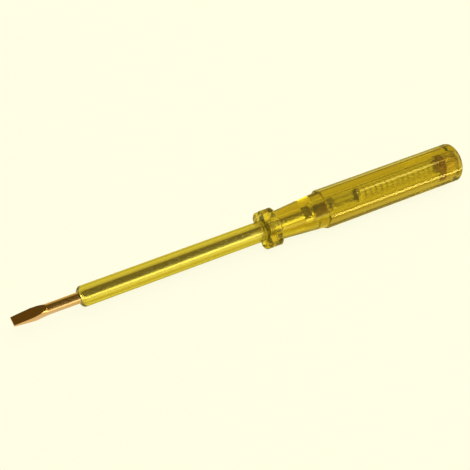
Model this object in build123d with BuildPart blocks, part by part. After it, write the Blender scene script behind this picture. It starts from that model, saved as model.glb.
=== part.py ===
"""Neon voltage tester screwdriver, lying as it rests on a bench.

The tool lies along X with its blade tip at -X and its grip at +X, +Z up. The origin is under the middle
of its length, on the surface that it rests on. Distances called *_at are measured from the blade's tip.
"""

from build123d import *
from math import cos, hypot, pi, radians, sin, sqrt, tan, tau
import os

# Whole tool
overall_length = 150.0
grip_across_flats = 11.8
overrun = 1.0

# Blade: one steel rod with a forged flat tip and a pinched rear end
rod_diameter = 3.3
rod_end_at = 96.4
tip_thickness = 0.6
tip_width = 2.95
flare_at = 5.9
flare_width = 3.55
flare_thickness = 2.0
forging_length = 10.2
bulge_share = 1.7
wing_at = 93.0
wing_length = 2.6
wing_span = 4.2
wing_thickness = 2.0

# Insulating sleeve on the rod
sleeve_at = 19.9
sleeve_diameter = 6.25
sleeve_rounding = 1.4

# Anti-roll collar, moulded with the handle
collar_at = 79.6
collar_length = 4.0
lug_count = 6
lug_gap_angle = 26.0
lug_rounding = 0.35
collar_root_diameter = 9.5

# Neck and grip
neck_front_diameter = 8.7
neck_step = 0.3
grip_at = 99.7
grip_sides = 8
grip_edge_rounding = 1.0
shoulder_length = 1.3
rear_rounding = 2.2
bore_clearance = 0.15

# Series resistor: ceramic core, lacquer coat, two pressed caps
resistor_diameter = 4.0
resistor_length = 6.0
resistor_core_diameter = 2.8
resistor_cap_length = 0.9

# Neon lamp: glass tube, two electrodes, two caps
lamp_length = 10.8
lamp_cap_length = 1.2
glass_diameter = 3.6
glass_wall = 0.4
electrode_diameter = 0.7
electrode_spacing = 1.2
electrode_gap = 1.6
cap_wall = 0.25

# End screw, the threaded insert that it turns in, the ring ahead of that, and the disc it pushes
screw_diameter = 2.9
screw_clearance = 0.05
screw_pitch = 0.5
screw_turns = 3
disc_clearance = 0.1
disc_diameter = 3.7
disc_thickness = 1.2
boss_diameter = 2.4
boss_height = 0.7
insert_wall = 0.35
insert_length = 4.3
thread_length = 2.6
ring_length = 2.4
knurl_count = 24
knurl_depth = 0.2
knurl_share = 0.5
head_diameter = 4.4
head_height = 0.9
head_recess = 0.1
slot_width = 0.6
slot_depth = 0.5
edge_break = 0.15

# Contact spring
wire_diameter = 0.35
spring_diameter = 3.3
curls = 14
end_turn_share = 0.25
arc_share = 0.25
gap_samples = 560

# Places that follow from the sizes above
tip_x = -overall_length / 2
axis_height = grip_across_flats / 2
neck_rear_diameter = grip_across_flats - 2 * neck_step
resistor_at = rod_end_at
resistor_cap_diameter = resistor_core_diameter + 2 * cap_wall
lamp_cap_diameter = glass_diameter + 2 * cap_wall
bore_diameter = lamp_cap_diameter + 2 * bore_clearance
lamp_at = resistor_at + resistor_length
spring_at = lamp_at + lamp_length
head_at = overall_length - head_recess - head_height
insert_at = head_at - insert_length
ring_at = insert_at - ring_length
screw_travel = screw_turns * screw_pitch
counterbore_depth = insert_length - thread_length
counterbore_diameter = disc_diameter + 2 * disc_clearance
insert_diameter = counterbore_diameter + 2 * (insert_wall + knurl_depth)
disc_at = insert_at + counterbore_depth - disc_clearance - screw_travel - disc_thickness

# Each lug's rounded corner touches the plane that the grip's lowest flat lies on
half_gap = radians(lug_gap_angle / 2)
corner_reach = (axis_height - lug_rounding * (1 - sin(half_gap))) / cos(half_gap)
collar_radius = lug_rounding + hypot(corner_reach, lug_rounding)

AXIS = Axis((tip_x, 0, axis_height), (1, 0, 0))
SIDE = Plane(origin=(tip_x, 0, axis_height), x_dir=(1, 0, 0), z_dir=(0, -1, 0))


def across(distance):
    """The plane square to the tool at this distance from the tip, its X to the side and its Y up."""
    return Plane(origin=(tip_x + distance, 0, axis_height), x_dir=(0, 1, 0), z_dir=(1, 0, 0))


def write(name, part):
    """Labels a finished piece and writes its STEP file."""
    part.label = name
    export_step(part, f"parts/{name}.step")


os.makedirs("parts", exist_ok=True)

# Blade
half_tip = tip_thickness / 2
half_flare = flare_thickness / 2
rod_radius = rod_diameter / 2
with BuildPart() as blade:
    with BuildSketch(across(0)):
        Ellipse(tip_width / 2, rod_radius * bulge_share)
    with BuildSketch(across(flare_at)):
        Ellipse(flare_width / 2, rod_radius * bulge_share)
    with BuildSketch(across(forging_length)):
        Circle(rod_radius)
    loft(ruled=True)
    with BuildSketch(SIDE):
        with BuildLine():
            Polyline(
                (0, half_tip),
                (flare_at, half_flare),
                (forging_length, rod_radius),
                (forging_length, -rod_radius),
                (flare_at, -half_flare),
                (0, -half_tip),
                close=True,
            )
        make_face()
    extrude(amount=flare_width, both=True, mode=Mode.INTERSECT)
    with BuildSketch(across(forging_length)):
        Circle(rod_radius)
    extrude(amount=wing_at - forging_length)
    with BuildSketch(across(wing_at)):
        SlotOverall(wing_span, wing_thickness)
    extrude(amount=wing_length)
    with BuildSketch(across(wing_at + wing_length)):
        Circle(rod_radius)
    extrude(amount=rod_end_at - wing_at - wing_length)
write("blade", blade.part)

# Insulating sleeve on the rod, its rear end against the collar
with BuildPart() as insulating_sleeve:
    with BuildSketch(across(sleeve_at)):
        Circle(sleeve_diameter / 2)
        Circle(rod_radius, mode=Mode.SUBTRACT)
    extrude(amount=collar_at - sleeve_at)
    front_edges = insulating_sleeve.edges().filter_by(GeomType.CIRCLE).group_by(Axis.X)[0]
    fillet(front_edges.sort_by(SortBy.RADIUS)[-1], sleeve_rounding)
write("insulating_sleeve", insulating_sleeve.part)

# Anti-roll collar: lugs with rounded edges on a round root, part of the handle's moulding
gap_reach = collar_radius + overrun
with BuildPart() as collar:
    with BuildSketch(across(collar_at)):
        Circle(collar_radius)
        with PolarLocations(0, lug_count, start_angle=180 / lug_count):
            Polygon(
                (0, 0),
                (gap_reach, -gap_reach * tan(half_gap)),
                (gap_reach, gap_reach * tan(half_gap)),
                align=None,
                mode=Mode.SUBTRACT,
            )
    extrude(amount=collar_length)
    outer_faces = collar.faces().filter_by(GeomType.CYLINDER)
    fillet(outer_faces.edges(), lug_rounding)
    with BuildSketch(across(collar_at)):
        Circle(collar_root_diameter / 2)
    extrude(amount=collar_length)

# Handle: grip, neck and collar in one moulding round the rod's rear end
neck_at = collar_at + collar_length
corner_radius = axis_height / cos(pi / grip_sides)
shoulder_end = (grip_at + shoulder_length, corner_radius)
rear_start = (overall_length - rear_rounding, corner_radius)
rear_end = (overall_length, corner_radius - rear_rounding)
with BuildPart() as handle:
    with BuildSketch(across(grip_at)):
        RegularPolygon(axis_height, grip_sides, major_radius=False, rotation=180 / grip_sides)
    extrude(amount=overall_length - grip_at)
    fillet(handle.edges().filter_by(Axis.X), grip_edge_rounding)
    with BuildSketch(SIDE):
        with BuildLine():
            Line((grip_at, 0), (grip_at, neck_rear_diameter / 2))
            TangentArc(shoulder_end, (grip_at, neck_rear_diameter / 2), tangent=(-1, 0))
            Line(shoulder_end, rear_start)
            TangentArc(rear_start, rear_end, tangent=(1, 0))
            Polyline(rear_end, (overall_length, 0), (grip_at, 0))
        make_face()
    revolve(axis=AXIS, mode=Mode.INTERSECT)
    with BuildSketch(SIDE):
        with BuildLine():
            Polyline(
                (neck_at, 0),
                (neck_at, neck_front_diameter / 2),
                (grip_at, neck_rear_diameter / 2),
                (grip_at, 0),
                close=True,
            )
        make_face()
    revolve(axis=AXIS)
    add(collar.part)
    add(blade.part, mode=Mode.SUBTRACT)
    with BuildSketch(across(rod_end_at)):
        Circle(bore_diameter / 2)
    extrude(amount=overall_length - rod_end_at, mode=Mode.SUBTRACT)
    with BuildSketch(across(ring_at)):
        Circle(insert_diameter / 2)
    extrude(amount=overall_length - ring_at, mode=Mode.SUBTRACT)
write("handle", handle.part)


def rod(at, length, diameter, aside=0):
    """A round bar along the tool, its middle moved sideways by aside."""
    with BuildPart() as bar:
        with BuildSketch(across(at)):
            with Locations((aside, 0)):
                Circle(diameter / 2)
        extrude(amount=length)
    return bar.part


def tube(at, length, outer_diameter, inner_diameter):
    """A round tube along the tool."""
    with BuildPart() as pipe:
        with BuildSketch(across(at)):
            Circle(outer_diameter / 2)
            Circle(inner_diameter / 2, mode=Mode.SUBTRACT)
        extrude(amount=length)
    return pipe.part


def end_cap(at, length, outer_diameter, inner_diameter, opens_to_rear):
    """A pressed metal cup with a rounded closed end."""
    with BuildPart() as cup:
        with BuildSketch(across(at)):
            Circle(outer_diameter / 2)
        extrude(amount=length)
        closed_end = cup.faces().sort_by(Axis.X)[0 if opens_to_rear else -1]
        fillet(closed_end.edges(), edge_break)
        with BuildSketch(across(at + cap_wall if opens_to_rear else at)):
            Circle(inner_diameter / 2)
        extrude(amount=length - cap_wall, mode=Mode.SUBTRACT)
    return cup.part


# Series resistor
coat_length = resistor_length - 2 * resistor_cap_length
core_length = resistor_length - 2 * cap_wall
resistor_rear_cap_at = resistor_at + resistor_length - resistor_cap_length
write("resistor_core", rod(resistor_at + cap_wall, core_length, resistor_core_diameter))
resistor_coat = tube(
    resistor_at + resistor_cap_length, coat_length, resistor_diameter, resistor_core_diameter
)
write("resistor_coat", resistor_coat)
for name, cap_at in (("front", resistor_at), ("rear", resistor_rear_cap_at)):
    cap = end_cap(
        cap_at, resistor_cap_length, resistor_cap_diameter, resistor_core_diameter, name == "front"
    )
    write(f"resistor_{name}_cap", cap)

# Neon lamp
glass_at = lamp_at + cap_wall
glass_length = lamp_length - 2 * cap_wall
electrode_length = glass_length - electrode_gap
glass_bore = glass_diameter - 2 * glass_wall
lamp_rear_cap_at = lamp_at + lamp_length - lamp_cap_length
write("lamp_glass", tube(glass_at, glass_length, glass_diameter, glass_bore))
for name, cap_at in (("front", lamp_at), ("rear", lamp_rear_cap_at)):
    cap = end_cap(cap_at, lamp_cap_length, lamp_cap_diameter, glass_diameter, name == "front")
    write(f"lamp_{name}_cap", cap)
front_electrode = rod(glass_at, electrode_length, electrode_diameter, -electrode_spacing / 2)
rear_electrode = rod(
    glass_at + electrode_gap, electrode_length, electrode_diameter, electrode_spacing / 2
)
write("lamp_front_electrode", front_electrode)
write("lamp_rear_electrode", rear_electrode)

# Contact disc: the spring sits round its boss, and the end screw's nose bears on its rear face
with BuildPart() as contact_disc:
    with BuildSketch(across(disc_at)):
        Circle(disc_diameter / 2)
    extrude(amount=disc_thickness)
    chamfer(contact_disc.edges(), edge_break)
    with BuildSketch(across(disc_at)):
        Circle(boss_diameter / 2)
    extrude(amount=-boss_height)
    chamfer(contact_disc.edges().sort_by(Axis.X)[0], edge_break)
write("contact_disc", contact_disc.part)

# Ring ahead of the insert: the disc moves inside it
write("insert_ring", tube(ring_at, ring_length, insert_diameter, counterbore_diameter))

# Threaded insert: a brass bush, knurled along its length, its front bored wider for the disc
knurl_pitch = pi * insert_diameter / knurl_count
with BuildPart() as threaded_insert:
    with BuildSketch(across(insert_at)):
        Circle(insert_diameter / 2)
        with PolarLocations(insert_diameter / 2, knurl_count):
            Rectangle(2 * knurl_depth, knurl_pitch * knurl_share, mode=Mode.SUBTRACT)
        Circle(screw_diameter / 2 + screw_clearance, mode=Mode.SUBTRACT)
    extrude(amount=insert_length)
    with BuildSketch(across(insert_at)):
        Circle(counterbore_diameter / 2)
    extrude(amount=counterbore_depth, mode=Mode.SUBTRACT)
write("threaded_insert", threaded_insert.part)

# End screw: a slotted head, a shank through the insert and a nose on the disc
nose_at = disc_at + disc_thickness
with BuildPart() as end_screw:
    with BuildSketch(across(head_at)):
        Circle(head_diameter / 2)
    extrude(amount=head_height)
    chamfer(end_screw.faces().sort_by(Axis.X)[-1].edges(), edge_break)
    with BuildSketch(across(head_at + head_height - slot_depth)):
        Rectangle(slot_width, head_diameter + overrun)
    extrude(amount=slot_depth + overrun, mode=Mode.SUBTRACT)
    with BuildSketch(across(nose_at)):
        Circle(screw_diameter / 2)
    extrude(amount=head_at - nose_at)
    chamfer(end_screw.faces().sort_by(Axis.X)[0].edges(), edge_break)
write("end_screw", end_screw.part)

# Contact spring: one wire from the lamp's rear cap to the disc, its ends turned along the tool
spring_length = disc_at - spring_at
coil_radius = (spring_diameter - wire_diameter) / 2
lead_in = wire_diameter + coil_radius
helix_turns = curls - 2 * end_turn_share
curl_pitch = (spring_length - 2 * lead_in) / helix_turns
climb_share = curl_pitch / (tau * coil_radius)


def wire_point(along, turn):
    """The wire's middle at a distance behind the lamp and a number of turns."""
    angle = tau * turn
    return Vector(
        tip_x + spring_at + along, coil_radius * cos(angle), axis_height + coil_radius * sin(angle)
    )


def wire_heading(turn):
    """The wire's direction in the even part of the coil."""
    angle = tau * turn
    return Vector(climb_share, -sin(angle), cos(angle)).normalized()


def biarc(start, leaving, end, arriving):
    """Two arcs that leave start and reach end in the given directions and meet smoothly."""
    gap = end - start
    spread = 2 * (1 - leaving.dot(arriving))
    pull = 2 * gap.dot(leaving + arriving)
    reach = (sqrt(pull**2 + 4 * spread * gap.dot(gap)) - pull) / (2 * spread)
    near, far = start + leaving * reach, end - arriving * reach
    middle = (near + far) / 2
    TangentArc(start, middle, tangent=leaving)
    TangentArc(middle, end, tangent=far - near)


with BuildPart() as contact_spring:
    with BuildLine() as wire:
        along_tool = Vector(1, 0, 0)
        stops = [(wire_point(0, 0), along_tool), (wire_point(wire_diameter, 0), along_tool)]
        for step in range(round(helix_turns / arc_share) + 1):
            turn = end_turn_share + step * arc_share
            along = lead_in + (turn - end_turn_share) * curl_pitch
            stops.append((wire_point(along, turn), wire_heading(turn)))
        stops.append((wire_point(spring_length - wire_diameter, curls), along_tool))
        stops.append((wire_point(spring_length, curls), along_tool))
        Line(stops[0][0], stops[1][0])
        for (start, leaving), (end, arriving) in zip(stops[1:], stops[2:-1]):
            biarc(start, leaving, end, arriving)
        Line(stops[-2][0], stops[-1][0])
    with BuildSketch(Plane(origin=stops[0][0], z_dir=along_tool)):
        Circle(wire_diameter / 2)
    sweep()
write("contact_spring", contact_spring.part)

# The spring's least gap to itself, on points along its wire
points = [wire.wires()[0] @ (step / gap_samples) for step in range(gap_samples + 1)]
step_length = wire.wires()[0].length / gap_samples
apart = round(pi * coil_radius / step_length)
gaps = [(a - b).length for i, a in enumerate(points) for b in points[i + apart :]]
print("spring: curls", curls, "pitch", round(curl_pitch, 2), "gap", round(min(gaps) - wire_diameter, 2))
radii = [edge.radius for edge in wire.edges().filter_by(GeomType.CIRCLE)]
print("spring: least radius", round(min(radii), 2), "wire", wire_diameter)
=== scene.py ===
"""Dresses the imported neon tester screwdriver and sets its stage.

The tool lies along X with its blade tip at -X, on two lugs of its collar and one flat of its grip.
Distances named "at" are measured from the blade's tip, in metres, and radii from the tool's axis.
"""

from math import asin, atan2, cos, hypot, pi, radians, sin, sqrt, tau

import bpy
import bmesh
from bpy.props import FloatProperty, FloatVectorProperty, IntProperty, PointerProperty
from mathutils import Matrix, Vector


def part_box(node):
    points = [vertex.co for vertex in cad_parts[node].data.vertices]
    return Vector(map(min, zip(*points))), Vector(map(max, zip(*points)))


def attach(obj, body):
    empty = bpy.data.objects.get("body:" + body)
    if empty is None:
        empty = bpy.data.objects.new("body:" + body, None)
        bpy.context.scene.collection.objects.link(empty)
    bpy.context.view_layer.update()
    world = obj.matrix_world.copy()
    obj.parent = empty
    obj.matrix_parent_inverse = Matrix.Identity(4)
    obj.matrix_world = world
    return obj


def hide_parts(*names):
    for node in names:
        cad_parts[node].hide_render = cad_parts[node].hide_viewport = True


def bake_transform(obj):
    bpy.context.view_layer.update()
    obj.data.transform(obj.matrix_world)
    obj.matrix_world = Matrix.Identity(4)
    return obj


bl_info = {
    "name": "Neon tester screwdriver",
    "version": (1, 0, 0),
    "blender": (4, 5, 0),
    "location": "3D View > Sidebar > Tester",
    "description": "Clear plastics, blade, lamp, resistor, spring and end screw of a neon tester",
    "category": "Add Mesh",
}

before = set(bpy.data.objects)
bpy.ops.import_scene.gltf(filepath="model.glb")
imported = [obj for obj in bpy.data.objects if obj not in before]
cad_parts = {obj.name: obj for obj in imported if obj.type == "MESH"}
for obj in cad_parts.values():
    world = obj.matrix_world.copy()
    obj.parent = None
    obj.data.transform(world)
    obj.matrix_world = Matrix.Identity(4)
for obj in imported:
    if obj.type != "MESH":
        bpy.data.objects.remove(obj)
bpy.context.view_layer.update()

MM = 0.001
TIP_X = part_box("blade")[0][0]
AXIS_Z = (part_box("insulating_sleeve")[0][2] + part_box("insulating_sleeve")[1][2]) / 2


def span(node):
    """Where a CAD node starts and ends along the tool, measured from the tip."""
    low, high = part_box(node)
    return low[0] - TIP_X, high[0] - TIP_X


def radius(node):
    """Half of a CAD node's width across the tool."""
    low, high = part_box(node)
    return (high[1] - low[1]) / 2


SLEEVE_AT, COLLAR_AT = span("insulating_sleeve")
TOOL_END = span("handle")[1]
ROD_END = span("blade")[1]
ROUND_STEPS = 128
SMALL_STEPS = 64
FIT = 0.02 * MM
TINY = 1e-6


def length(name, description, millimetres):
    """A length that a user may change."""
    return FloatProperty(
        name=name, description=description, default=millimetres * MM, unit="LENGTH"
    )


def angle(name, description, degrees):
    """An angle that a user may change."""
    return FloatProperty(
        name=name, description=description, default=radians(degrees), unit="ROTATION"
    )


def count(name, description, default):
    """A number of like things that a user may change."""
    return IntProperty(name=name, description=description, default=default)


def tone(name, description, default):
    """A colour that a user may change."""
    return FloatVectorProperty(
        name=name, description=description, default=default, subtype="COLOR"
    )


class TesterSizes(bpy.types.PropertyGroup):
    """Sizes that the frame's boxes don't give."""

    rod_radius: length("Rod radius", "Round part of the blade", 1.65)
    tip_thickness: length("Tip thickness", "Thickness of the slotted tip", 0.6)
    tip_width: length("Tip width", "Width of the slotted tip", 2.95)
    flare_at: length("Flare", "Where the forged blade is widest", 5.9)
    flare_width: length("Flare width", "Greatest width of the blade", 3.55)
    flare_thickness: length("Flare thickness", "Thickness at the flare", 2.0)
    forging_length: length("Forging", "Where the blade is round again", 10.2)
    forging_bulge: length("Forging bulge", "Half height of the oval that is forged flat", 2.805)
    wing_at: length("Wings", "Where the pinched wings start", 93.0)
    wing_length: length("Wing length", "Length of the wings", 2.6)
    wing_span: length("Wing span", "Width across the wings", 4.2)
    wing_thickness: length("Wing thickness", "Thickness of the wings", 2.0)
    sleeve_rounding: length("Sleeve rounding", "Rounding of the sleeve's front edge", 1.4)
    collar_length: length("Collar length", "Length of the collar", 4.0)
    collar_root: length("Collar root", "Radius between the lugs", 4.75)
    lug_count: count("Lugs", "Lugs round the collar", 6)
    lug_angle: angle("Lug angle", "Angle that one lug's outer face takes", 28)
    lug_foot_angle: angle("Lug foot angle", "Angle that one lug takes at its foot", 56)
    lug_rounding: length("Lug rounding", "Rounding of a lug's edges", 0.35)
    neck_front: length("Neck front", "Neck's radius behind the collar", 4.35)
    neck_rear: length("Neck rear", "Neck's radius at the grip", 5.6)
    neck_fillet: length("Neck fillet", "Fillet between collar and neck", 0.5)
    grip_at: length("Grip", "Where the grip's shoulder starts", 99.7)
    grip_sides: count("Grip sides", "Flats round the grip", 8)
    grip_rounding: length("Grip rounding", "Rounding of the grip's long edges", 1.6)
    grip_crown: length("Grip crown", "Wider rounding from a flat into its edges", 3.0)
    shoulder: length("Shoulder", "Length of the grip's front shoulder", 1.3)
    rear_rounding: length("Rear rounding", "Rounding of the rear edge", 2.2)
    bore_radius: length("Bore radius", "Bore for lamp and spring", 2.2)
    glass_wall: length("Glass wall", "Wall of the lamp's glass", 0.4)
    screw_radius: length("Screw radius", "Outside of the screw's thread", 1.45)
    thread_pitch: length("Thread pitch", "Pitch of the end screw", 0.5)
    thread_depth: length("Thread depth", "Depth of the thread", 0.2)
    thread_length: length("Thread length", "Threaded part of the insert", 2.6)
    ring_bore: length("Ring bore", "Radius that the disc moves in", 1.95)
    slot_width: length("Slot width", "Slot in the end screw", 0.6)
    slot_depth: length("Slot depth", "Depth of that slot", 0.5)
    knurl_count: count("Knurls", "Grooves round the insert", 24)
    knurl_depth: length("Knurl depth", "Depth of a knurl's groove", 0.2)
    wire_radius: length("Wire radius", "Wire of the contact spring", 0.175)
    curls: count("Curls", "Turns of the contact spring", 14)


class TesterColours(bpy.types.PropertyGroup):
    """Colours of the finishes and the stage, with the painted light and painted shade of its floor.
    """

    handle: tone("Handle", "Clear golden plastic at its surface", (1.0, 0.90, 0.20))
    handle_depth: tone("Handle depth", "What deep handle plastic leaves", (0.82, 0.78, 0.28))
    sleeve: tone("Sleeve", "Clear lemon plastic at its surface", (1.0, 0.97, 0.35))
    sleeve_depth: tone("Sleeve depth", "What deep sleeve plastic leaves", (0.78, 0.765, 0.38))
    blade: tone("Blade", "Coppery bare steel", (0.72, 0.42, 0.17))
    shank: tone("Shank", "Steel behind the forged tip", (0.66, 0.45, 0.27))
    rod: tone("Rod", "Plated steel inside the sleeve", (0.95, 0.90, 0.75))
    floor: tone("Floor", "Pale cream floor", (1.0, 0.987, 0.787))
    # Painted light: this colour and the next are golden light painted on the floor beside the
    # plastic, standing in for light that the plastic gathers; only gloss rays see them.
    glow: tone("Floor glow", "Floor beside the plastic, as gloss shows it", (0.76, 0.60, 0.06))
    painted_bright_glow: tone("Bright glow", "Floor where the plastic gathers light", (1.0, 0.88, 0.28))
    # Painted shade: a dark floor painted past the rear end, seen only by gloss rays and rays
    # through the clear plastic.
    painted_rear_shade: tone("Dusk", "Floor past the rear end, as gloss and plastic show it", (0.22, 0.13, 0.02))


def at(along, across=0.0, up=0.0):
    """A point from its distance behind the tip, and sideways and up from the axis."""
    return Vector((TIP_X + along, across, AXIS_Z + up))


def around(along, shape, turns):
    """Points round the tool at angles from +Y. shape is a radius, or a function of the angle."""
    outs = [shape(turn) if callable(shape) else shape for turn in turns]
    return [at(along, out * cos(turn), out * sin(turn)) for out, turn in zip(outs, turns)]


def ring(along, shape, steps):
    """Evenly spaced points round the tool."""
    return around(along, shape, [tau * step / steps for step in range(steps)])


def arc(centre, size, start, end, steps):
    """Profile points on an arc, its angles in degrees from the tool's direction."""
    points = []
    for step in range(steps + 1):
        turn = radians(start + (end - start) * step / steps)
        points.append((centre[0] + size * cos(turn), centre[1] + size * sin(turn)))
    return points


def chamfered(start, end, out, soft):
    """Profile points of a round bar with chamfered ends."""
    return [(start, out - soft), (start + soft, out), (end - soft, out), (end, out - soft)]


def linked(name, data):
    """A new object in the scene."""
    new = bpy.data.objects.new(name, data)
    bpy.context.scene.collection.objects.link(new)
    return new


def meshed(name, points, edges, faces):
    """A new mesh object in the scene."""
    mesh = bpy.data.meshes.new(name)
    mesh.from_pydata(points, edges, faces)
    return linked(name, mesh)


def skin(name, rings, closed=False):
    """A mesh object through equal rings: a solid with filled ends, or a tube where closed."""
    steps, rows = len(rings[0]), len(rings)
    faces = []
    for row in range(rows if closed else rows - 1):
        near, far = row * steps, (row + 1) % rows * steps
        for step in range(steps):
            beside = (step + 1) % steps
            faces.append((near + step, far + step, far + beside, near + beside))
    if not closed:
        last = rows * steps - 1
        faces += [tuple(range(steps)), tuple(range(last, last - steps, -1))]
    piece = meshed(name, [point for points in rings for point in points], [], faces)
    build = bmesh.new()
    build.from_mesh(piece.data)
    bmesh.ops.recalc_face_normals(build, faces=build.faces)
    build.to_mesh(piece.data)
    build.free()
    return piece


def turned(name, profile, steps=SMALL_STEPS, closed=False):
    """A turned piece from (distance behind the tip, radius) pairs."""
    return skin(name, [ring(along, out, steps) for along, out in profile], closed)


def drawn(name, section, ends):
    """A bar whose section is given as (y, z) pairs, and its ends as (place, scale) pairs."""
    return skin(name, [[at(along, y * size, z * size) for y, z in section] for along, size in ends])


def bake(piece):
    """Turns a piece's modifiers into a plain mesh."""
    seen = bpy.context.evaluated_depsgraph_get()
    plain = bpy.data.meshes.new_from_object(piece.evaluated_get(seen))
    piece.modifiers.clear()
    piece.data = plain


def carve(piece, tool, operation):
    """Joins, cuts or keeps the piece's common part with a tool, which is then removed."""
    step = piece.modifiers.new("Carve", "BOOLEAN")
    step.object, step.operation, step.solver = tool, operation, "EXACT"
    bake(piece)
    bpy.data.objects.remove(tool)


def finish(piece, node, material, sharp_degrees=50, body="tool", flats=True):
    """Smooths a piece but for edges over an angle, with flat faces kept flat, gives it its
    material and its body, and hides the CAD node that it stands for."""
    piece.data.shade_smooth()
    piece.data.set_sharp_from_angle(angle=radians(sharp_degrees))
    if flats:
        piece.modifiers.new("Flat faces", "WEIGHTED_NORMAL").keep_sharp = True
        bake(piece)
    piece.data.materials.clear()
    piece.data.materials.append(material)
    for face in piece.data.polygons:
        face.material_index = 0
    if body:
        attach(piece, body)
    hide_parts(node)


def feed(tree, node, inputs):
    """Gives a node's inputs, by name or number, a value, a colour or another node's socket."""
    for name, source in inputs.items():
        socket = node.inputs[name]
        if isinstance(source, bpy.types.NodeSocket):
            tree.links.new(source, socket)
        else:
            socket.default_value = (*source, 1.0) if socket.type == "RGBA" else source
    return node


def add(tree, kind, inputs=None, **settings):
    """A new node with its settings and inputs."""
    node = tree.nodes.new(kind)
    for name, value in settings.items():
        setattr(node, name, value)
    return feed(tree, node, inputs or {})


def maths(tree, operation, *values):
    """What a Math node makes of sockets or numbers."""
    return add(tree, "ShaderNodeMath", dict(enumerate(values)), operation=operation).outputs[0]


def mapped(tree, value, start=0.0, end=1.0, low=0.0, high=1.0):
    """Maps a value's range on to another, held at its ends."""
    inputs = {"Value": value, "From Min": start, "From Max": end, "To Min": low, "To Max": high}
    return add(tree, "ShaderNodeMapRange", inputs).outputs[0]


def blended(tree, first, second, share):
    """A colour between two, by a share from 0 to 1."""
    inputs = {"A": first, "B": second, "Factor": share}
    return add(tree, "ShaderNodeMix", inputs, data_type="RGBA").outputs["Result"]


def ramped(tree, value, stops, interpolation="LINEAR"):
    """A colour that follows a value through stops, given as (place, colour)."""
    node = add(tree, "ShaderNodeValToRGB", {0: value})
    node.color_ramp.interpolation = interpolation
    ramp = node.color_ramp.elements
    for end, (place, colour) in zip(tuple(ramp), (stops[0], stops[-1])):
        end.position, end.color = place, (*colour, 1.0)
    for place, colour in stops[1:-1]:
        ramp.new(place).color = (*colour, 1.0)
    return node.outputs[0]


def place_on(tree, source="Object"):
    """A point's place, as one socket and as its X, Y and Z."""
    place = add(tree, "ShaderNodeTexCoord").outputs[source]
    return place, add(tree, "ShaderNodeSeparateXYZ", {0: place}).outputs


def shared_group(name, kind, inputs, outputs, fill):
    """A node group that is built once. Its sockets are given as name, type and default, and fill
    adds the nodes between them."""
    group = bpy.data.node_groups.get(name)
    if group is None:
        group = bpy.data.node_groups.new(name, kind)
        if kind == "GeometryNodeTree":
            group.is_modifier = True
        for way, sockets in (("INPUT", inputs), ("OUTPUT", outputs)):
            for label, type_name, *default in sockets:
                made = group.interface.new_socket(
                    name=label, in_out=way, socket_type="NodeSocket" + type_name
                )
                if default:
                    made.default_value = default[0]
        fill(group, add(group, "NodeGroupInput").outputs, add(group, "NodeGroupOutput"))
    return group


def wear_group():
    """Shader group: slow waviness and fine rubbed marks, as a height and a mask."""
    def fill(group, given, result):
        place, _ = place_on(group)
        across = {0: place, 1: given["Stretch"]}
        stretched = add(group, "ShaderNodeVectorMath", across, operation="MULTIPLY")
        wave = add(group, "ShaderNodeTexNoise", {
            "Vector": place, "Scale": given["Wave Scale"], "Detail": 2.0,
        })
        marks = add(group, "ShaderNodeTexNoise", {
            "Vector": stretched.outputs[0], "Scale": given["Mark Scale"], "Detail": 6.0,
        })
        rubbed = maths(group, "MULTIPLY", marks.outputs[0], given["Mark Amount"])
        height = maths(group, "ADD", wave.outputs[0], rubbed)
        feed(group, result, {"Height": height, "Mask": marks.outputs[0]})

    inputs = (
        ("Wave Scale", "Float", 250.0), ("Mark Scale", "Float", 4000.0),
        ("Mark Amount", "Float", 0.3), ("Stretch", "Vector", (1.0, 1.0, 1.0)),
    )
    outputs = (("Height", "Float"), ("Mask", "Float"))
    return shared_group("Fine wear", "ShaderNodeTree", inputs, outputs, fill)


def worn(tree, stretch=(1.0, 1.0, 1.0), marks=4000.0, amount=0.3):
    """The height and mask of fine wear, with its own marks."""
    inputs = {"Stretch": stretch, "Mark Scale": marks, "Mark Amount": amount}
    return add(tree, "ShaderNodeGroup", inputs, node_tree=wear_group()).outputs


def surfaced(name, colour, roughness, bump, metallic=0.0, **marks):
    """A Principled material with worn roughness and bump. Returns it, its shader and its wear."""
    material = bpy.data.materials.new(name)
    material.use_nodes = True
    tree = material.node_tree
    wear = worn(tree, **marks)
    relief = add(tree, "ShaderNodeBump", {"Distance": bump, "Height": wear["Height"]})
    shader = feed(tree, tree.nodes["Principled BSDF"], {
        "Base Color": colour, "Metallic": metallic, "Normal": relief.outputs[0],
        "Roughness": mapped(tree, wear["Mask"], low=roughness[0], high=roughness[1]),
    })
    return material, shader, wear


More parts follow.
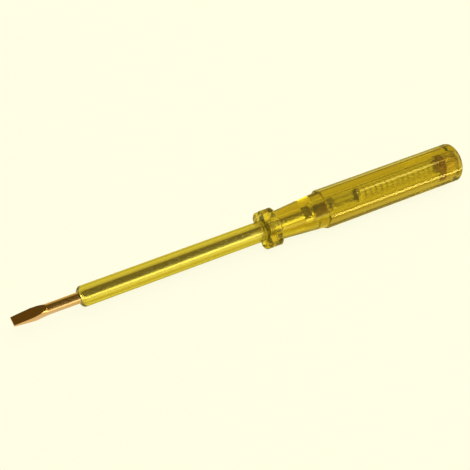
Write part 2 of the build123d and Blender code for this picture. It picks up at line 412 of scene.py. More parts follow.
def clear_plastic(name, colour, deep, bump, clear, bore=0.0, satin=()):
    """Clear yellow plastic: polished, slightly wavy, darker where light crosses more of it. Nearer
    to the axis than bore it is streaked along the tool, and it is satin in each of the places in
    satin, given as start and end behind the tip, least radius and roughness."""
    material, shader, wear = surfaced(name, colour, (0.01, 0.05), bump, amount=0.05)
    tree = material.node_tree
    feed(tree, shader, {
        "Transmission Weight": clear, "IOR": 1.48, "Specular Tint": (1.0, 0.82, 0.30),
    })
    depth = add(tree, "ShaderNodeVolumeAbsorption", {"Color": deep, "Density": 300.0})
    feed(tree, tree.nodes["Material Output"], {"Volume": depth.outputs[0]})
    place, axes = place_on(tree)
    from_axis = {0: place, 1: (0.0, 1.0, 1.0), 2: (0.0, 0.0, -AXIS_Z)}
    aside = add(tree, "ShaderNodeVectorMath", from_axis, operation="MULTIPLY_ADD").outputs[0]
    reach = add(tree, "ShaderNodeVectorMath", {0: aside}, operation="LENGTH").outputs["Value"]
    rough = shader.inputs["Roughness"].links[0].from_socket
    for start, end, least, roughness in satin:
        here = maths(tree, "GREATER_THAN", axes["X"], TIP_X + start)
        here = maths(tree, "MULTIPLY", here, maths(tree, "LESS_THAN", axes["X"], TIP_X + end))
        here = maths(tree, "MULTIPLY", here, maths(tree, "GREATER_THAN", reach, least))
        rough = maths(tree, "ADD", rough, maths(tree, "MULTIPLY", here, roughness))
    if bore:
        bore_tint, bore_roughness = (1.0, 0.98, 0.90), 0.30
        inner = maths(tree, "LESS_THAN", reach, bore)
        streaks = worn(tree, stretch=(0.03, 1.0, 1.0), marks=2500.0, amount=8.0)
        streaked = maths(tree, "MULTIPLY", streaks["Height"], inner)
        height = maths(tree, "ADD", wear["Height"], streaked)
        feed(tree, shader.inputs["Normal"].links[0].from_node, {"Height": height})
        feed(tree, shader, {"Base Color": blended(tree, colour, bore_tint, inner)})
        rough = maths(tree, "ADD", rough, maths(tree, "MULTIPLY", inner, bore_roughness))
    feed(tree, shader, {"Roughness": rough})
    return material


def metal(name, colour, roughness, amount=0.6, **marks):
    """Metal with fine marks and a slight change of tone over it."""
    bump, mottle = 0.002 * MM, 0.12
    material, shader, wear = surfaced(name, colour, roughness, bump, 1.0, amount=amount, **marks)
    dark, light = ([min(1, part * share) for part in colour] for share in (1 - mottle, 1 + mottle))
    tree = material.node_tree
    feed(tree, shader, {"Base Color": blended(tree, dark, light, wear["Mask"])})
    return material


def run_nodes(piece, group, values):
    """Runs a Geometry Nodes group on a piece and keeps the result as a plain mesh."""
    step = piece.modifiers.new(group.name, "NODES")
    step.node_group = group
    for socket in group.interface.items_tree:
        if socket.in_out == "INPUT" and socket.name in values:
            step[socket.identifier] = values[socket.name]
    bake(piece)


def painted(group, geometry, material):
    """The end of a Geometry Nodes tree: real geometry with its material."""
    real = add(group, "GeometryNodeRealizeInstances", {0: geometry}).outputs[0]
    inputs = {"Geometry": real, "Material": material}
    return add(group, "GeometryNodeSetMaterial", inputs).outputs[0]


def round_copies(piece, copies, material):
    """Geometry Nodes: turns copies of a piece round the tool's axis and joins them in one mesh."""
    def fill(group, given, result):
        def lifted(geometry, sign):
            height = maths(group, "MULTIPLY", given["Axis Height"], sign)
            place = add(group, "ShaderNodeCombineXYZ", {"Z": height}).outputs[0]
            inputs = {"Geometry": geometry, "Translation": place}
            return add(group, "GeometryNodeTransform", inputs).outputs[0]

        points = add(group, "GeometryNodePoints", {"Count": given["Count"]})
        index = add(group, "GeometryNodeInputIndex").outputs[0]
        turn = maths(group, "MULTIPLY", maths(group, "DIVIDE", index, given["Count"]), tau)
        turns = add(group, "ShaderNodeCombineXYZ", {"X": turn}).outputs[0]
        placed = add(group, "GeometryNodeInstanceOnPoints", {
            "Points": points.outputs[0], "Instance": lifted(given["Geometry"], -1.0),
            "Rotation": turns,
        })
        raised = lifted(placed.outputs[0], 1.0)
        feed(group, result, {0: painted(group, raised, given["Material"])})

    inputs = (
        ("Geometry", "Geometry"), ("Count", "Int", 6), ("Axis Height", "Float", 0.0),
        ("Material", "Material"),
    )
    outputs = (("Geometry", "Geometry"),)
    group = shared_group("Copies round the axis", "GeometryNodeTree", inputs, outputs, fill)
    run_nodes(piece, group, {"Count": copies, "Axis Height": AXIS_Z, "Material": material})


def wire_group():
    """Geometry Nodes: a round wire along the piece's own path."""
    def fill(group, given, result):
        path = add(group, "GeometryNodeMeshToCurve", {"Mesh": given["Geometry"]})
        circle = add(group, "GeometryNodeCurvePrimitiveCircle", {
            "Radius": given["Wire Radius"], "Resolution": given["Sides"],
        })
        sweep = add(group, "GeometryNodeCurveToMesh", {
            "Curve": path.outputs[0], "Profile Curve": circle.outputs[0], "Fill Caps": True,
        })
        feed(group, result, {0: painted(group, sweep.outputs[0], given["Material"])})

    inputs = (
        ("Geometry", "Geometry"), ("Wire Radius", "Float", 0.001), ("Sides", "Int", 16),
        ("Material", "Material"),
    )
    outputs = (("Geometry", "Geometry"),)
    return shared_group("Wire along a path", "GeometryNodeTree", inputs, outputs, fill)


def blade_ring(along, shape, corner=None):
    """One ring of the blade, with points on the four corners of its flat faces."""
    side, flat = 56, 8
    corner = min(corner or pi, pi / 2 * side / (side + flat))
    turns = []
    for middle in (0, pi):
        turns += [middle - corner + 2 * corner * step / side for step in range(side)]
        turns += [middle + corner + (pi - 2 * corner) * step / flat for step in range(flat)]
    return around(along, shape, turns)


def blade_rings(start, end, inset=0.0):
    """Rings of the steel rod between two places: forged tip, round rod, pinched wings, end."""
    sizes = bpy.context.scene.tester_sizes
    rod = sizes.rod_radius
    flare = (sizes.flare_width / 2, sizes.forging_bulge, sizes.flare_thickness / 2)
    front = (sizes.tip_width / 2, sizes.forging_bulge, sizes.tip_thickness / 2)
    steps = 16
    half_step = 0.04 * MM

    def forged(along, wide, tall, flat):
        def out(turn):
            oval = wide * tall / hypot(tall * cos(turn), wide * sin(turn))
            return min(oval, flat / max(abs(sin(turn)), TINY)) - inset

        return along, out, atan2(flat, wide * sqrt(max(1 - (flat / tall) ** 2, 0)))

    def winged(turn):
        half, middle = sizes.wing_thickness / 2, (sizes.wing_span - sizes.wing_thickness) / 2
        side, up = abs(cos(turn)), abs(sin(turn))
        if up * middle > side * half:
            return half / up - inset
        return middle * side + sqrt(half**2 - (middle * up) ** 2) - inset

    places = []
    for first, last, near, far in (
        (0.0, sizes.flare_at, front, flare),
        (sizes.flare_at, sizes.forging_length, flare, (rod, rod, rod)),
    ):
        for step in range(steps):
            share = step / steps
            shape = [a + (b - a) * share for a, b in zip(near, far)]
            places.append(forged(first + (last - first) * share, *shape))
    wing_end = sizes.wing_at + sizes.wing_length
    places += [(sizes.forging_length, rod - inset), (COLLAR_AT - 2 * MM, rod - inset)]
    places += [(sizes.wing_at - half_step, rod - inset), (sizes.wing_at + half_step, winged)]
    places += [(wing_end - half_step, winged), (wing_end + half_step, rod - inset)]
    places += [(ROD_END, rod - inset)]
    return [blade_ring(*place) for place in places if start <= place[0] <= end]


class TESTER_OT_blade(bpy.types.Operator):
    """Makes the steel rod with its forged tip and pinched wings"""

    bl_idname = "tester.blade"
    bl_label = "Blade"

    def execute(self, context):
        blade = skin("steel_blade", blade_rings(0, ROD_END))
        finish(blade, "blade", self.steel(context.scene.tester_colours), 32)
        return {"FINISHED"}

    def steel(self, colours):
        """Drawn steel, coppery where it is bare and paler inside the plastic."""
        along = {"stretch": (0.15, 1, 1), "marks": 6000.0}
        material = metal("Drawn steel", colours.blade, (0.18, 0.32), amount=0.8, **along)
        tree = material.node_tree
        shader = tree.nodes["Principled BSDF"]
        bare = shader.inputs["Base Color"].links[0].from_socket
        _, axes = place_on(tree)
        for start, end, colour in (
            (6 * MM, 12 * MM, colours.shank),
            (SLEEVE_AT - 0.5 * MM, SLEEVE_AT + 1.5 * MM, colours.rod),
        ):
            share = mapped(tree, axes["X"], TIP_X + start, TIP_X + end)
            bare = blended(tree, bare, colour, share)
        feed(tree, shader, {"Base Color": bare})
        return material


class TESTER_OT_sleeve(bpy.types.Operator):
    """Makes the clear insulating sleeve"""

    bl_idname = "tester.sleeve"
    bl_label = "Insulating sleeve"

    def execute(self, context):
        sizes, colours = context.scene.tester_sizes, context.scene.tester_colours
        outside, inside = radius("insulating_sleeve"), sizes.rod_radius - FIT
        rear, rounding = COLLAR_AT + FIT, sizes.sleeve_rounding
        profile = [(SLEEVE_AT, inside)]
        profile += arc((SLEEVE_AT + rounding, outside - rounding), rounding, 180, 90, 12)
        profile += [(rear, outside), (rear, inside)]
        sleeve = turned("clear_sleeve", profile, ROUND_STEPS, closed=True)
        plastic = clear_plastic(
            "Clear sleeve plastic", colours.sleeve, colours.sleeve_depth, 0.006 * MM, 0.97,
            satin=((0, SLEEVE_AT + rounding, 0, 0.06),),
        )
        finish(sleeve, "insulating_sleeve", plastic)
        return {"FINISHED"}


class TESTER_OT_handle(bpy.types.Operator):
    """Makes the clear handle: lugged collar, tapered neck, eight-sided grip and bore"""

    bl_idname = "tester.handle"
    bl_label = "Handle"

    def execute(self, context):
        sizes, colours = context.scene.tester_sizes, context.scene.tester_colours
        collar_end = COLLAR_AT + sizes.collar_length + sizes.neck_fillet
        rim, edge = sizes.collar_root - MM, 0.3 * MM
        rim_satin, grip_satin = 0.35, 0.15
        plastic = clear_plastic(
            "Clear handle plastic", colours.handle, colours.handle_depth, 0.003 * MM, 0.95,
            bore=sizes.bore_radius + 0.5 * MM,
            satin=(
                (COLLAR_AT, COLLAR_AT + edge, rim, rim_satin),
                (collar_end - sizes.neck_fillet - edge, collar_end, rim, rim_satin),
                (sizes.grip_at, sizes.grip_at + sizes.shoulder, sizes.neck_rear, grip_satin),
                (TOOL_END - sizes.rear_rounding, TOOL_END, sizes.neck_rear - 2 * MM, grip_satin),
            ),
        )
        handle = self.body(sizes)
        carve(handle, self.prism(sizes), "INTERSECT")
        carve(handle, self.lugs(sizes, plastic), "UNION")
        carve(handle, self.channel(sizes), "DIFFERENCE")
        carve(handle, self.bore(sizes), "DIFFERENCE")
        finish(handle, "handle", plastic, 30)
        return {"FINISHED"}

    def body(self, sizes):
        """The round envelope of collar root, neck, shoulder and grip."""
        neck_at = COLLAR_AT + sizes.collar_length
        corner = AXIS_Z / cos(pi / sizes.grip_sides)
        rise = corner - sizes.neck_rear
        size = (sizes.shoulder**2 + rise**2) / (2 * rise)
        lean = asin(sizes.shoulder / size) * 180 / pi
        fillet, soft, rounding = sizes.neck_fillet, 0.2 * MM, sizes.rear_rounding
        profile = [(COLLAR_AT, sizes.collar_root - soft), (COLLAR_AT + soft, sizes.collar_root)]
        profile += [(neck_at, sizes.collar_root)]
        for back, out in ((FIT, 0.5), (0.3 * fillet, 0.25), (fillet, 0.08)):
            profile.append((neck_at + back, sizes.neck_front + out * fillet))
        profile += [(sizes.grip_at, sizes.neck_rear)]
        shoulder = arc((sizes.grip_at + sizes.shoulder, corner - size), size, 90 + lean, 90, 14)
        profile += shoulder[1:]
        profile += arc((TOOL_END - rounding, corner - rounding), rounding, 90, 0, 24)
        return turned("clear_handle", profile, ROUND_STEPS)

    def prism(self, sizes):
        """The eight-sided prism that cuts the grip's flats."""
        flat, sides, tight, wide = AXIS_Z, sizes.grip_sides, sizes.grip_rounding, sizes.grip_crown
        half, turn = pi / sides, pi / (3 * sides)
        level = flat * sin(half) - wide * (sin(half) - sin(turn)) - tight * sin(turn)
        level /= cos(half)
        side_x = (flat - wide) * cos(half) + level * sin(half)
        side_y = (wide - flat) * sin(half) + level * cos(half)
        corner_x = side_x + (wide - tight) * cos(turn)
        edge_steps = 12
        section = []
        for side in range(sides):
            for step in range(edge_steps + 1):
                lean = half * (2 * step / edge_steps - 1)
                if abs(lean) > turn + TINY:
                    x, y, size = side_x, side_y if lean < 0 else -side_y, wide
                else:
                    x, y, size = corner_x, 0.0, tight
                spot = Vector((x + size * cos(lean), y + size * sin(lean)))
                spot.rotate(Matrix.Rotation(tau * (side + 0.5) / sides, 2))
                section.append(spot)
        return drawn("prism", section, ((COLLAR_AT - MM, 1), (TOOL_END + MM, 1)))

    def lugs(self, sizes, plastic):
        """The collar's lugs: one with rounded edges, turned round the axis."""
        steps = 8
        outside, foot = radius("handle"), sizes.collar_root - 0.1 * MM
        section = []
        for out, half in ((foot, sizes.lug_foot_angle / 2), (outside, -sizes.lug_angle / 2)):
            for step in range(steps + 1):
                turn = (step / steps * 2 - 1) * half
                section.append((out * cos(turn), out * sin(turn)))
        lug = drawn("lug", section, ((COLLAR_AT, 1), (COLLAR_AT + sizes.collar_length, 1)))
        build = bmesh.new()
        build.from_mesh(lug.data)

        def outer(edge):
            return all(hypot(v.co.y, v.co.z - AXIS_Z) > outside - FIT for v in edge.verts)

        rims = [e for e in build.edges if outer(e) and e.calc_face_angle() > radians(30)]
        bmesh.ops.bevel(
            build, geom=rims, offset=sizes.lug_rounding, segments=5, profile=0.5,
            affect="EDGES", clamp_overlap=True,
        )
        build.to_mesh(lug.data)
        build.free()
        round_copies(lug, sizes.lug_count, plastic)
        return lug

    def channel(self, sizes):
        """The hole that the steel rod fills, a hair inside its surface."""
        rings = blade_rings(COLLAR_AT - 3 * MM, ROD_END, FIT)
        rings[-1] = ring(ROD_END + 0.1 * MM, sizes.rod_radius - FIT, ROUND_STEPS)
        return skin("channel", rings)

    def bore(self, sizes):
        """The bore for resistor, lamp and spring, and the wider seat for ring and insert."""
        seat_at, seat = span("insert_ring")[0] + FIT, radius("insert_ring") - FIT
        profile = [(ROD_END, sizes.bore_radius), (seat_at, sizes.bore_radius)]
        profile += [(seat_at, seat), (TOOL_END + MM, seat)]
        return turned("bore", profile, ROUND_STEPS)


def pressed_caps(thing, inside, material):
    """Thin metal cups on the resistor's or the lamp's ends."""
    wall, soft = 0.25 * MM, 0.15 * MM
    for place in ("front", "rear"):
        node = f"{thing}_{place}_cap"
        start, end = span(node)
        out = radius(node)
        profile = [(0.0, 0.4 * out), (0.0, out - soft)]
        for turn in (pi / 6, pi / 3, pi / 2):
            profile.append((soft * (1 - cos(turn)), out - soft * (1 - sin(turn))))
        profile += [(end - start, out), (end - start, inside), (wall, inside), (wall, 0.3 * out)]
        cap = turned(f"{place}_cap_of_{thing}", [
            (start + along if place == "front" else end - along, size) for along, size in profile
        ])
        finish(cap, node, material)


class TESTER_OT_resistor(bpy.types.Operator):
    """Makes the banded resistor with its pressed caps"""

    bl_idname = "tester.resistor"
    bl_label = "Resistor"

    def execute(self, context):
        start, end = span("resistor_coat")
        out, core = radius("resistor_coat"), radius("resistor_core")
        soft, edge = 0.25 * MM, 0.1 * MM
        profile = [(start, core)] + arc((start + soft, out - soft), soft, 180, 90, 6)
        profile += arc((end - soft, out - soft), soft, 90, 0, 6) + [(end, core)]
        coat = turned("brown_coat", profile, closed=True)
        finish(coat, "resistor_coat", self.lacquer(start, end))
        first, last = span("resistor_core")
        profile = [(first, core - edge), (first + edge, core - FIT)]
        profile += [(last - edge, core - FIT), (last, core - edge)]
        rod = turned("ceramic_core", profile)
        ceramic, _, _ = surfaced("Ceramic", (0.78, 0.74, 0.66), (0.5, 0.7), 0.003 * MM)
        finish(rod, "resistor_core", ceramic, 32)
        pressed_caps("resistor", core, metal("Lacquered cap", (0.34, 0.19, 0.08), (0.3, 0.45)))
        return {"FINISHED"}

    def lacquer(self, start, end):
        """Brown lacquer with painted bands, placed along the tool."""
        lacquer = surfaced("Banded lacquer", (0.30, 0.14, 0.05), (0.5, 0.65), 0.004 * MM)
        material, shader, _ = lacquer
        tree = material.node_tree
        _, axes = place_on(tree)
        along = mapped(tree, axes["X"], TIP_X + start, TIP_X + end)
        brown, red = (0.24, 0.10, 0.035), (0.30, 0.05, 0.02)
        dark, gold = (0.06, 0.03, 0.02), (0.45, 0.28, 0.06)
        bands = (
            (0.0, brown), (0.14, dark), (0.24, brown), (0.40, red), (0.54, brown), (0.80, gold),
            (0.88, brown),
        )
        feed(tree, shader, {"Base Color": ramped(tree, along, bands, "CONSTANT")})
        return material


class TESTER_OT_lamp(bpy.types.Operator):
    """Makes the neon lamp: glass tube, two electrodes and two caps"""

    bl_idname = "tester.lamp"
    bl_label = "Neon lamp"

    def execute(self, context):
        start, end = span("lamp_glass")
        out, soft = radius("lamp_glass"), 0.3 * MM
        inside = out - context.scene.tester_sizes.glass_wall
        profile = [(start, inside)] + arc((start + soft, out - soft), soft, 180, 90, 5)
        profile += arc((end - soft, out - soft), soft, 90, 0, 5) + [(end, inside)]
        tube = turned("glass_tube", profile, ROUND_STEPS, closed=True)
        glass, shader, _ = surfaced("Lamp glass", (1.0, 1.0, 0.98), (0.0, 0.02), 0.001 * MM)
        feed(glass.node_tree, shader, {"Transmission Weight": 1.0, "IOR": 1.5})
        finish(tube, "lamp_glass", glass)
        self.electrodes(metal("Nickel electrode", (0.78, 0.73, 0.60), (0.45, 0.65)))
        pressed_caps("lamp", out + FIT, metal("Tinned cap", (0.92, 0.85, 0.66), (0.5, 0.65)))
        return {"FINISHED"}

    def electrodes(self, nickel):
        """Nickel rods, each with a thinner lead at its cap and a rounded free end."""
        for place in ("front", "rear"):
            node = f"lamp_{place}_electrode"
            low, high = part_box(node)
            start, end = span(node)
            out, reach = radius(node), end - start
            aside = Vector((0, (low[1] + high[1]) / 2, 0))
            lead, lead_length = 0.45 * out, 1.6 * MM
            profile = [(0, lead), (lead_length, lead), (lead_length + 0.1 * MM, out)]
            for turn in (0, pi / 8, pi / 4, 3 * pi / 8):
                profile.append((reach - out + out * sin(turn), out * cos(turn)))
            rings = []
            for along, size in profile:
                points = ring(start + along if place == "front" else end - along, size, 24)
                rings.append([point + aside for point in points])
            piece = skin(f"{place}_electrode", rings)
            finish(piece, node, nickel)


class TESTER_OT_spring(bpy.types.Operator):
    """Makes the contact spring between the lamp and the contact disc"""

    bl_idname = "tester.spring"
    bl_label = "Contact spring"

    def execute(self, context):
        sizes = context.scene.tester_sizes
        start, end = span("contact_spring")
        coil = radius("contact_spring") - sizes.wire_radius
        lead = 2 * sizes.wire_radius
        whole, curl_steps, quarter = end - start, 32, 0.25
        even = whole - 2 * (lead + coil)

        def climb(turns):
            """How far the wire has climbed: fast in its outer quarter turns, else evenly."""
            if turns < quarter:
                return lead + coil * (1 - (1 - turns / quarter) ** 2)
            if turns > sizes.curls - quarter:
                return whole - climb(sizes.curls - turns)
            return lead + coil + even * (turns - quarter) / (sizes.curls - 2 * quarter)

        path = [at(start, coil)]
        for step in range(sizes.curls * curl_steps + 1):
            turns = step / curl_steps
            aside, up = coil * cos(tau * turns), coil * sin(tau * turns)
            path.append(at(start + climb(turns), aside, up))
        path.append(at(end, coil))
        edges = [(i, i + 1) for i in range(len(path) - 1)]
        spring = meshed("coiled_spring", path, edges, [])
        wire = metal("Spring wire", (0.66, 0.62, 0.52), (0.3, 0.45))
        values = {"Wire Radius": sizes.wire_radius, "Sides": 16, "Material": wire}
        run_nodes(spring, wire_group(), values)
        finish(spring, "contact_spring", wire, body=None, flats=False)
        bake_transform(spring)
        return {"FINISHED"}


class TESTER_OT_rear_contact(bpy.types.Operator):
    """Makes the contact disc, the ring, the knurled insert and the slotted end screw"""

    bl_idname = "tester.rear_contact"
    bl_label = "Rear contact"

    def execute(self, context):
        sizes = context.scene.tester_sizes
        self.disc()
        self.ring(sizes)
        self.insert(sizes)
        self.screw(sizes)
        return {"FINISHED"}

    def disc(self):
        """The copper disc with the boss that centres the spring."""
        start, end = span("contact_disc")
        soft, boss, boss_length = 0.15 * MM, 1.2 * MM, 0.7 * MM
        face = start + boss_length
        profile = [(start, boss - soft), (start + soft, boss), (face, boss)]
        profile += chamfered(face, end, radius("contact_disc"), soft)
        piece = turned("copper_disc", profile)
        copper = metal("Copper", (0.58, 0.22, 0.10), (0.25, 0.4))
        finish(piece, "contact_disc", copper, 32, "contact")

    def ring(self, sizes):
        """The red-brown fibre ring that the disc moves in."""
        start, end = span("insert_ring")
        inside = sizes.ring_bore
        outside = chamfered(start, end, radius("insert_ring"), 0.1 * MM)
        profile = [(start, inside), *outside, (end, inside)]
        piece = turned("fibre_ring", profile, ROUND_STEPS, closed=True)
        fibre, _, _ = surfaced(
            "Red fibre", (0.42, 0.18, 0.05), (0.45, 0.65), 0.004 * MM, stretch=(1, 4, 4)
        )
        finish(piece, "insert_ring", fibre, 32)

    def insert(self, sizes):
        """The brass bush: bored wide for the disc, threaded behind, with teeth round it."""
        start, end = span("threaded_insert")
        out, soft, pitch = radius("threaded_insert"), 0.12 * MM, sizes.thread_pitch
        core, play = out - sizes.knurl_depth, 0.05 * MM
        brass = metal("Knurled brass", (1.0, 0.75, 0.34), (0.45, 0.65))
        piece = turned("knurled_insert", chamfered(start, end, core, soft), 96)
        thread_at = end - sizes.thread_length
        wide = turned("wide_bore", [(start - MM, sizes.ring_bore), (thread_at, sizes.ring_bore)])
        carve(piece, wide, "DIFFERENCE")
        crest = sizes.screw_radius + play
        hole = self.thread("hole", thread_at - pitch, end + pitch, crest, sizes)
        carve(piece, hole, "DIFFERENCE")
        tooth_half = tau / sizes.knurl_count / 4
        section = []
        for size, width in ((core - 0.1 * MM, 1.5), (out - 0.05 * MM, 1.05), (out, 0.8)):
            section.append((size * cos(width * tooth_half), size * sin(width * tooth_half)))
        section += [(y, -z) for y, z in reversed(section)]
        tooth = drawn("tooth", section, (
            (start + soft / 2, 0.98), (start + soft, 1), (end - soft, 1), (end - soft / 2, 0.98),
        ))
        round_copies(tooth, sizes.knurl_count, brass)
        carve(piece, tooth, "UNION")
        finish(piece, "threaded_insert", brass, 30)

    def thread(self, name, start, end, crest, sizes):
        """A threaded rod whose ridge climbs one pitch each turn."""
        pitch_steps = 10
        steps = round((end - start) / sizes.thread_pitch * pitch_steps)
        rings = []
        for step in range(steps + 1):
            along = start + (end - start) * step / steps

            def ridge(turn, along=along):
                phase = (along / sizes.thread_pitch - turn / tau) % 1.0
                return crest - sizes.thread_depth * abs(2 * phase - 1)

            rings.append(ring(along, ridge, 48))
        return skin(name, rings)

    def screw(self, sizes):
        """The brass end screw: threaded shank, chamfered head and slot."""
        start, end = span("end_screw")
        out, soft = radius("end_screw"), 0.15 * MM
        head_at, crest = span("threaded_insert")[1], sizes.screw_radius
        core = crest - sizes.thread_depth
        shank = self.thread("shank", start + 0.3 * MM, head_at + 0.1 * MM, crest, sizes)
        nose = turned("nose", [(start, core - soft), (start + soft, core), (head_at, core)])
        profile = [(head_at + FIT, out - soft), *chamfered(head_at, end, out, soft)[1:]]
        head = turned("slotted_screw", profile)
        carve(head, shank, "UNION")
        carve(head, nose, "UNION")
        half, wide = sizes.slot_width / 2, 2 * out
        section = ((half, wide), (-half, wide), (-half, -wide), (half, -wide))
        slot = drawn("slot", section, ((end - sizes.slot_depth, 1), (end + MM, 1)))
        carve(head, slot, "DIFFERENCE")
        brass = metal("Turned brass", (0.83, 0.62, 0.26), (0.15, 0.3))
        finish(head, "end_screw", brass, 30, "screw")


class TESTER_OT_stage(bpy.types.Operator):
    """Sets the floor, the lights, the world and the camera"""

    bl_idname = "tester.stage"
    bl_label = "Stage"

    def execute(self, context):
        colours = context.scene.tester_colours
        self.floor(colours)
        self.lights()
        context.scene.world = self.world(colours)
        context.scene.camera = self.camera()
        context.scene.view_settings.view_transform = "Standard"
        return {"FINISHED"}

    def floor(self, colours):
        """A wide pale floor that camera, glass and metal see as evenly lit, but for the object's
        shadow, which the camera sees, and for painted golden light and painted shade near the
        tool, which glass and metal see."""
        half, own_light = 6.0, 0.94
        corners = [(-half, -half, 0), (half, -half, 0), (half, half, 0), (-half, half, 0)]
        floor = meshed("floor", corners, [], [(0, 1, 2, 3)])
        material = bpy.data.materials.new("Pale floor")
        material.use_nodes = True
        tree = material.node_tree
        tree.nodes.clear()
        rays = add(tree, "ShaderNodeLightPath").outputs
        mirrored = maths(tree, "MAXIMUM", rays["Is Glossy Ray"], rays["Is Transmission Ray"])
        direct = maths(tree, "MULTIPLY", rays["Is Camera Ray"], own_light)
        seen = maths(tree, "MAXIMUM", direct, mirrored)
        lit = add(tree, "ShaderNodeBsdfDiffuse", {"Color": colours.floor})
        # The floor's emission: its own even colour, and near the tool painted golden light and
        # painted shade.
        glow = self.seen_floor(tree, colours, rays, mirrored)
        glow = add(tree, "ShaderNodeEmission", {"Color": glow})
        both = add(tree, "ShaderNodeMixShader", {0: seen, 1: lit.outputs[0], 2: glow.outputs[0]})
        add(tree, "ShaderNodeOutputMaterial", {"Surface": both.outputs[0]})
        floor.data.materials.append(material)

    def seen_floor(self, tree, colours, rays, mirrored):
        """The floor's own colour, and for gloss painted golden light beside sleeve and handle, in
        bands that run along the tool, and for gloss and clear plastic painted shade past its rear
        end."""
        slant, reach = 0.4, 0.05
        _, axes = place_on(tree)
        along, aside = axes["X"], maths(tree, "ABSOLUTE", axes["Y"])
        slanted = maths(tree, "SUBTRACT", along, maths(tree, "MULTIPLY", aside, slant))
        behind = mapped(tree, slanted, TIP_X + COLLAR_AT - 12 * MM, TIP_X + COLLAR_AT)
        near = mapped(tree, along, TIP_X + SLEEVE_AT - 8 * MM, TIP_X + SLEEVE_AT + 4 * MM)
        beside = maths(tree, "MULTIPLY", near, mapped(tree, aside, 2 * reach, reach))
        # Painted light: beside the sleeve and from the collar back, gloss rays see golden light
        # painted on the floor, in bands across from the tool.
        painted_glow_share = maths(tree, "MAXIMUM", beside, behind)
        gold = ramped(tree, maths(tree, "MULTIPLY", aside, 1 / reach), (
            (0.08, colours.glow), (0.12, colours.painted_bright_glow), (0.36, colours.painted_bright_glow),
            (0.60, colours.glow),
        ))
        glossy = maths(tree, "MULTIPLY", painted_glow_share, rays["Is Glossy Ray"])
        floor_with_painted_glow = blended(tree, colours.floor, gold, glossy)
        # Painted shade: past the rear end, gloss rays and rays through the clear plastic see a dark
        # floor.
        beyond = mapped(tree, along, TIP_X + TOOL_END + 3 * MM, TIP_X + TOOL_END + 15 * MM)
        return blended(tree, floor_with_painted_glow, colours.painted_rear_shade, maths(tree, "MULTIPLY", beyond, mirrored))

    def lights(self):
        """A soft lamp overhead that only lights, strips and a lamp that show as gloss, and two
        that show through the plastic alone, one by the rod in the neck and one by the insert."""
        warm, cool = (1.0, 0.96, 0.76), (0.95, 0.98, 1.0)
        gold, yellow = (1.0, 0.96, 0.45), (1.0, 0.92, 0.25)
        gloss, through = ("glossy",), ("transmission",)
        for lamp in (
            ("overhead", 90, 0.7, (-0.3, 0.5), 0.8, 3.6, warm, ("diffuse",)),
            ("blade_strip", 166, 0.6, (-0.04, 0.09), 0.26, 0.9, warm, gloss),
            ("low_strip", 166, 0.6, (0.09, 0.262), 0.26, 2.0, warm, gloss + through),
            ("high_strip", 134, 0.6, (-0.2, 0.1), 0.05, 1.0, warm, gloss),
            ("upper_edge_strip", 85, 0.6, (0.355, 0.44), 0.31, 9.0, gold, gloss),
            ("lower_edge_strip", 168, 0.6, (0.325, 0.48), 0.30, 13.0, gold, gloss),
            ("collar_lamp", 118, 0.6, (0.25, 0.29), 0.40, 4.0, yellow, gloss),
            ("neck_lamp", 148, 0.6, (0.41, 0.60), 0.46, 5.0, cool, through),
            ("rear_lamp", 100, 0.6, (0.64, 0.90), 0.40, 10.0, warm, through),
        ):
            self.lamp(*lamp)

    def lamp(self, name, degrees, distance, reach, height, strength, colour, seen_by):
        """A rectangular lamp beside the tool: its angle in degrees from +Y, its distance from the
        axis, where it starts and ends along X, its height, its strength as a brightness, where 1
        looks white, its colour and the rays that meet it."""
        light = bpy.data.lights.new(name, "AREA")
        width = reach[1] - reach[0]
        light.shape, light.size, light.size_y = "RECTANGLE", width, height
        light.energy, light.color = strength * pi * width * height, colour
        lamp = linked(name, light)
        turn, middle = radians(degrees), sum(reach) / 2
        lamp.location = (middle, distance * cos(turn), AXIS_Z + distance * sin(turn))
        aim = Vector((middle, 0, AXIS_Z)) - lamp.location
        lamp.rotation_euler = aim.to_track_quat("-Z", "Y").to_euler()
        for kind in ("diffuse", "glossy", "transmission"):
            setattr(lamp, "visible_" + kind, kind in seen_by)

    def world(self, colours):
        """A dim warm room, brighter low down, which the camera sees as pale as the floor."""
        world = bpy.data.worlds.new("Room")
        world.use_nodes = True
        tree = world.node_tree
        _, axes = place_on(tree, "Generated")
        room = ramped(tree, axes["Z"], ((0.40, (0.76, 0.62, 0.14)), (0.62, (0.13, 0.09, 0.02))))
        camera_ray = add(tree, "ShaderNodeLightPath").outputs["Is Camera Ray"]
        seen = blended(tree, room, colours.floor, camera_ray)
        feed(tree, tree.nodes["Background"], {"Color": seen})
        return world

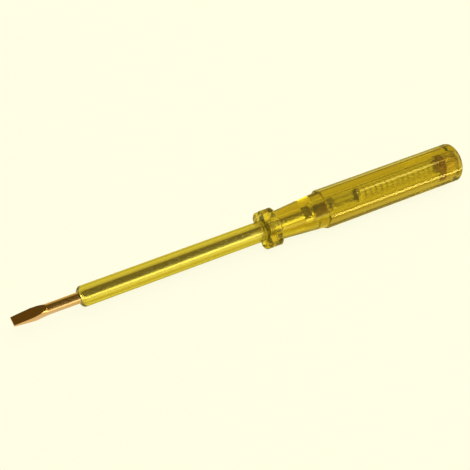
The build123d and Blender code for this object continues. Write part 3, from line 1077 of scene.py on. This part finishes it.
    def camera(self):
        """The photograph's view: from above the near side, the tip a little nearer."""
        lean, height, roll = radians(22), radians(59), radians(19.96)
        distance, aimed_at, aimed_up = 0.373, 0.0708, 0.00158
        frame_pixels, focal_pixels = 470, 1262
        near = Vector((0, -cos(height), sin(height)))
        towards = -sin(lean) * Vector((1, 0, 0)) + cos(lean) * near
        along = cos(lean) * Vector((1, 0, 0)) + sin(lean) * near
        down = Vector((0, -sin(height), -cos(height)))
        right = cos(roll) * along + sin(roll) * down
        up = sin(roll) * along - cos(roll) * down
        data = bpy.data.cameras.new("camera")
        data.sensor_width = 36
        data.lens = focal_pixels / frame_pixels * data.sensor_width
        data.clip_start, data.clip_end = 0.01, 50
        camera = linked("camera", data)
        place = at(aimed_at) - aimed_up * down + distance * towards
        turn = Matrix((right, up, towards)).transposed().to_4x4()
        camera.matrix_world = Matrix.Translation(place) @ turn
        return camera


class TESTER_PT_panel(bpy.types.Panel):
    """Lists the tester's pieces in the sidebar"""

    bl_label = "Neon tester"
    bl_idname = "TESTER_PT_panel"
    bl_space_type = "VIEW_3D"
    bl_region_type = "UI"
    bl_category = "Tester"

    def draw(self, context):
        for operator in OPERATORS:
            self.layout.operator(operator.bl_idname)
        for name in TesterColours.__annotations__:
            self.layout.prop(context.scene.tester_colours, name)
        for name in TesterSizes.__annotations__:
            self.layout.prop(context.scene.tester_sizes, name)


OPERATORS = (
    TESTER_OT_blade,
    TESTER_OT_sleeve,
    TESTER_OT_handle,
    TESTER_OT_resistor,
    TESTER_OT_lamp,
    TESTER_OT_spring,
    TESTER_OT_rear_contact,
    TESTER_OT_stage,
)
CLASSES = (TesterSizes, TesterColours, *OPERATORS, TESTER_PT_panel)


def register():
    for item in CLASSES:
        bpy.utils.register_class(item)
    bpy.types.Scene.tester_sizes = PointerProperty(type=TesterSizes)
    bpy.types.Scene.tester_colours = PointerProperty(type=TesterColours)


def unregister():
    del bpy.types.Scene.tester_colours
    del bpy.types.Scene.tester_sizes
    for item in reversed(CLASSES):
        bpy.utils.unregister_class(item)


def main():
    register()
    for operator in OPERATORS:
        category, name = operator.bl_idname.split(".")
        getattr(getattr(bpy.ops, category), name)()


if __name__ == "__main__":
    main()
